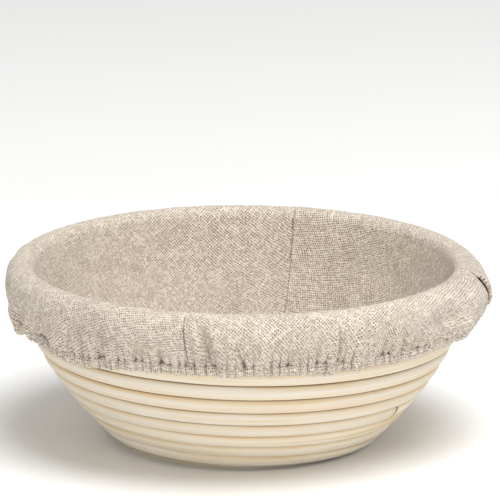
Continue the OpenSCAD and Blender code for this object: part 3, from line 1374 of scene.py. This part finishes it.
@dataclass
class Liner:
    """The linen liner with its seams, casing and threads."""

    shape: LinerShape
    columns: int = 1160
    weave_turn: float = 56.7
    casing_columns: int = 1500
    casing_sides: int = 14
    hem_lean: float = 74.0
    flat_hem_r: float = 0.1375
    flat_side: float = 0.0009
    stitch_count: int = 158
    stitch_down: float = 0.97
    fray_count: int = 46

    def column_turn(self, i: float) -> float:
        """Where a column lies: they are closer together beside the creases.

        Args:
            i: the column.

        Returns:
            Degrees from the front towards the right.
        """
        turn = DARTS[0].turn + 360 * (i + 0.5) / self.columns
        for dart in DARTS:
            off = apart(turn, dart.turn)
            turn -= 0.62 * off * hump(off, 2.6)
        return turn

    def build(self) -> None:
        """Builds every piece of the liner."""
        linen = LinenFinish().make()
        cloth = self.cloth(linen)
        casing = self.casing(linen)
        elastic = self.elastic()
        stitches = self.stitches()
        threads = [self.dart_thread(dart) for dart in DARTS]
        fray = self.fray()
        area = self.shape_area()

    def shape_area(self) -> float:
        """Flat area of the cloth: the round cut less its four darts.

        Returns:
            The area in square metres.
        """
        rows = self.shape.rows
        area = 0.0
        for a, b in zip(rows, rows[1:]):
            area += math.pi * (a[0] + b[0]) * math.hypot(b[0] - a[0], b[1] - a[1])
        return area * MM * MM

    def cloth(self, linen: bpy.types.Material) -> bpy.types.Object:
        """The bowl and skirt, one cloth.

        Args:
            linen: its material.

        Returns:
            The piece, which replaces liner_bowl and liner_skirt.
        """
        shape = self.shape
        rows = len(shape.rows) - 1

        def place(i: int, j: int) -> Vector:
            """The point of a column and row."""
            return shape.point(self.column_turn(i), j)

        def pattern(i: int, j: int, middle: float) -> tuple[float, float]:
            """Where a point lies on the flat cut, which the darts divide into quarters.

            Args:
                i: column.
                j: row.
                middle: the face's middle column, which picks the quarter.

            Returns:
                The place on the flat cloth in metres.
            """
            turn = self.column_turn(i)
            quarter = math.floor(((self.column_turn(middle) - DARTS[0].turn) % 360) / 90)
            centre = DARTS[0].turn + 90 * quarter + 45
            run = max(shape.length[j], 0.01)
            angle = math.radians(90 * quarter + self.weave_turn + apart(turn, centre) * shape.rows[j][0] / run)
            return run * MM * math.cos(angle), run * MM * math.sin(angle)

        slit_row = [n for n, row in enumerate(shape.rows) if shape.slit_open(row[2]) > 0.02]

        slit_column = self.columns * (DARTS[1].turn - DARTS[0].turn) / 360 - 0.5

        def missing(column: float, row: float) -> bool:
            """Whether a face lies in the gap of the open seam."""
            beside = abs(column - slit_column) < 0.6
            return beside and slit_row[0] <= row <= slit_row[-1]

        def tuck(i: int, j: int) -> float:
            """How deep in a fold a point of the skirt lies."""
            turn, down = self.column_turn(i), shape.rows[j][2]
            return shape.tuck(shape.drifted(turn, down), down) if down > 0 else 0.0

        piece = grid_piece(
            "liner_cloth", self.columns, rows, place, pattern, closed_columns=True, missing=missing, tuck=tuck
        )
        thicken = piece.modifiers.new("cloth thickness", "SOLIDIFY")
        thicken.thickness = shape.cloth_t * MM
        thicken.offset = 0.0
        thicken.use_rim = True
        return mount(piece, linen, Body.LINER, "linen", "liner_bowl", "liner_skirt")

    def hem_middle(self, turn: float) -> tuple[float, float]:
        """Where the casing's middle lies.

        Args:
            turn: degrees from the front towards the right.

        Returns:
            Radius and height in millimetres.
        """
        shape = self.shape
        r, z = shape.skirt(turn, 1.0)
        lift = 0.7 * (shape.folds(turn, 1.0) - shape.gather_mm * shape.gather(turn))
        lift = max(-0.5, min(2.2, lift))
        sway = 0.5 * round_wave(57.0, turn, 0.09) + 0.35 * round_wave(58.0, turn, 0.45)
        return r - 0.30 + lift, z - 2.30 + sway - 0.12 * lift

    def hem_ring(
        self,
        name: str,
        size: Callable[[float, float], tuple[float, float]],
        columns: int,
        sides: int,
        tuck: Callable[[int, int], float] | None = None,
    ) -> bpy.types.Object:
        """A closed band along the hem.

        Args:
            name: the piece's name.
            size: half thickness and half height, in millimetres, at a turn and an angle of the section.
            columns: faces along the hem.
            sides: faces round the section.
            tuck: how deep in a fold a column and row lies, from 0 to 1.

        Returns:
            The piece, not yet dressed.
        """
        lean = math.radians(self.hem_lean)

        def place(i: int, j: int) -> Vector:
            """A point of the band's surface.

            Args:
                i: column.
                j: side of the section.

            Returns:
                The point in metres.
            """
            turn, a = 360 * (i % columns) / columns, math.tau * (j % sides) / sides
            half_t, half_h = size(turn, a)
            r, z = self.hem_middle(turn)
            out, up = half_t * math.cos(a), half_h * math.sin(a)
            r += out * math.sin(lean) + up * math.cos(lean)
            z += up * math.sin(lean) - out * math.cos(lean)
            return polar(r, z, turn)

        def pattern(i: int, j: int, _: float) -> tuple[float, float]:
            """Metres along and across the flat band."""
            return math.tau * self.flat_hem_r * i / columns, j * self.flat_side

        return grid_piece(name, columns, sides, place, pattern, closed_columns=True, closed_rows=True, tuck=tuck)

    def casing(self, linen: bpy.types.Material) -> bpy.types.Object:
        """The hem's puckered casing.

        Args:
            linen: its material.

        Returns:
            The piece, which replaces hem_casing.
        """
        shape = self.shape

        def size(turn: float, a: float) -> tuple[float, float]:
            """The casing's puffs and tucks.

            Args:
                turn: degrees from the front towards the right.
                a: angle of the section in radians.

            Returns:
                Half thickness and half height in millimetres.
            """
            puff = shape.gather(turn + 0.35 * math.sin(a))
            fine = round_wave(51.0, turn, 2.2, math.sin(a))
            return max(0.5, 1.40 + 0.95 * puff + 0.18 * fine), 2.55 + 0.65 * puff + 0.30 * round_wave(53.0, turn, 0.7)

        def tuck(i: int, _: int) -> float:
            """How deep in a tuck a column lies."""
            return ease((0.30 - shape.gather(360 * i / self.casing_columns)) / 1.1)

        piece = self.hem_ring("hem_casing_cloth", size, self.casing_columns, self.casing_sides, tuck)
        return mount(piece, linen, Body.LINER, "linen", "hem_casing")

    def elastic(self) -> bpy.types.Object:
        """The flat elastic inside the casing."""
        piece = self.hem_ring("hem_elastic_band", lambda turn, a: (0.30, 1.60), 360, 10)
        return mount(piece, ElasticFinish().make(), Body.LINER, "elastic", "hem_elastic")

    def stitches(self) -> bpy.types.Object:
        """The row of stitches along the top of the casing.

        Returns:
            The piece, which replaces hem_stitching.
        """
        shape, count = self.shape, self.stitch_count
        paths = []
        for n in range(count):
            path = []
            for k in range(5):
                turn = 360 * (n + 0.16 + 0.68 * k / 4) / count
                r, z = shape.skirt(turn, self.stitch_down)
                lift = shape.folds(turn, self.stitch_down)
                sink = -0.5 + 0.95 * math.sin(math.pi * k / 4)
                path.append(polar(r + lift + sink, z - 0.3 * wave(61.0, n), turn))
            paths.append(path)
        piece = strands("hem_stitches", paths, 0.2 * MM)
        thread = ThreadFinish("hem_thread", (0.70, 0.63, 0.54), (0.48, 0.41, 0.33)).make()
        return mount(piece, thread, Body.LINER, "thread", "hem_stitching")

    def dart_thread(self, dart: Dart) -> bpy.types.Object:
        """The thread that closes a dart, deep in its crease.

        Args:
            dart: the dart. Where its seam gapes, the thread ends.

        Returns:
            The piece, which replaces the dart's CAD node.
        """
        shape = self.shape
        path = []
        for row in range(shape.floor_rows - 1, len(shape.rows) - 1):
            down = shape.rows[row][2]
            if dart.slit and shape.slit_open(down) > 0.02:
                break
            path.append(shape.point(dart.turn, row, 0.28))
        piece = strands(dart.node + "_thread", [path], 0.24 * MM)
        thread = ThreadFinish(dart.node + "_twist", (0.36, 0.29, 0.22), (0.20, 0.15, 0.11)).make()
        return mount(piece, thread, Body.LINER, "linen", dart.node)

    def fray(self) -> bpy.types.Object:
        """Loose thread ends along the hem.

        Returns:
            The piece, which stands for no CAD node.
        """
        shape = self.shape
        paths = []
        for n in range(self.fray_count):
            turn = 21 + 9 * wave(71.0, n * 3.3) + (n * 37.0 if n % 3 else 0.0)
            r, z = shape.skirt(turn, 1.0)
            z -= 4.3 + 0.5 * wave(77.0, n * 1.9)
            path = []
            for k in range(6):
                x = k / 5
                out = r - 1.2 + 1.6 * x + 0.5 * math.sin(3 * x + n)
                up = z + 1.2 * math.sin(2.4 * x) * wave(73.0, n * 2.1) - 1.5 * x
                side = turn + 1.3 * x * (1 if n % 2 else -1) + 0.4 * wave(79.0, n * 1.7, x * 2)
                path.append(polar(out, up, side))
            paths.append(path)
        piece = strands("frayed_ends", paths, 0.20 * MM, 5)
        thread = ThreadFinish("loose_flax", (0.72, 0.66, 0.57), (0.55, 0.48, 0.40)).make()
        return mount(piece, thread, Body.LINER, "thread")


# ---- The studio ----


@dataclass(frozen=True)
class Softbox:
    """A soft area light that faces the basket."""

    name: str
    spot: tuple[float, float, float]
    size: float
    power: float
    aim: tuple[float, float, float] = (0.0, 0.0, 0.04)

    def build(self) -> None:
        """Adds the light."""
        light = bpy.data.lights.new(self.name, "AREA")
        light.shape = "DISK"
        light.size = self.size
        light.energy = self.power
        lamp = bpy.data.objects.new(self.name, light)
        bpy.context.scene.collection.objects.link(lamp)
        lamp.location = self.spot
        lamp.rotation_euler = (Vector(self.aim) - Vector(self.spot)).to_track_quat("-Z", "Y").to_euler()


@dataclass(frozen=True)
class Studio:
    """Pale floor, soft lights and the camera.

    view_width is how many millimetres the view spans at the basket. The shifts are shares of that width.
    """

    distance: float = 3.0
    elevation: float = 14.16
    roll: float = 0.19
    aim_height: float = 0.094
    view_width: float = 244.140625
    side_shift: float = 0.0124
    drop_shift: float = 0.0024
    sensor_width: float = 36.0
    far_clip: float = 50.0
    surround: float = 0.49
    floor_reach: float = 4.0
    floor_faces: int = 8

    def build(self) -> None:
        """Builds the studio."""
        self.floor()
        self.lights()
        self.camera()

    def floor(self) -> None:
        """A wide pale floor."""
        bm = bmesh.new()
        bmesh.ops.create_grid(bm, x_segments=self.floor_faces, y_segments=self.floor_faces, size=self.floor_reach)
        floor = finished("floor", bm, smooth=False)
        dress(floor, FloorFinish().make())
        floor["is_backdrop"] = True

    def lights(self) -> None:
        """Soft light from above and in front, and a pale surround."""
        world = bpy.data.worlds.new("pale surround")
        world.use_nodes = True
        glow = world.node_tree.nodes["Background"].inputs
        glow["Color"].default_value = (1.0, 1.0, 1.0, 1.0)
        glow["Strength"].default_value = self.surround
        bpy.context.scene.world = world
        bpy.context.scene.view_settings.view_transform = "Standard"
        Softbox("key softbox", (0.34, -0.46, 1.76), 1.3, 31.0).build()
        Softbox("front softbox", (0.2, -3.5, 0.6), 1.1, 25.5).build()

    def camera(self) -> None:
        """The camera, level with the look of the basket from just above the rim."""
        lens = bpy.data.cameras.new("camera")
        lens.sensor_width = self.sensor_width
        lens.lens = self.sensor_width * self.distance / (self.view_width * MM)
        lens.shift_x = self.side_shift
        lens.shift_y = -self.drop_shift
        lens.clip_end = self.far_clip
        camera = bpy.data.objects.new("camera", lens)
        bpy.context.scene.collection.objects.link(camera)
        tilt = math.radians(self.elevation)
        aim = Vector((0, 0, self.aim_height))
        camera.location = aim + Vector((0, -math.cos(tilt), math.sin(tilt))) * self.distance
        look = (aim - camera.location).to_track_quat("-Z", "Y")
        camera.rotation_euler = (look.to_matrix() @ Matrix.Rotation(math.radians(self.roll), 3, "Z")).to_euler()
        bpy.context.scene.camera = camera


def main() -> None:
    """Builds the basket, the liner and the studio, and works out the bounds of the CAD parts and of the visual
    pieces.
    """
    logging.basicConfig(level=logging.INFO, format="%(name)s: %(message)s")
    Studio().build()
    CaneBasket().build()
    Liner(LinerShape()).build()
    boxes = {"cad": CAD_BOX, "visual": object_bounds()}
    {key: [list(corner) for corner in value] for key, value in boxes.items()}


if __name__ == "__main__":
    main()
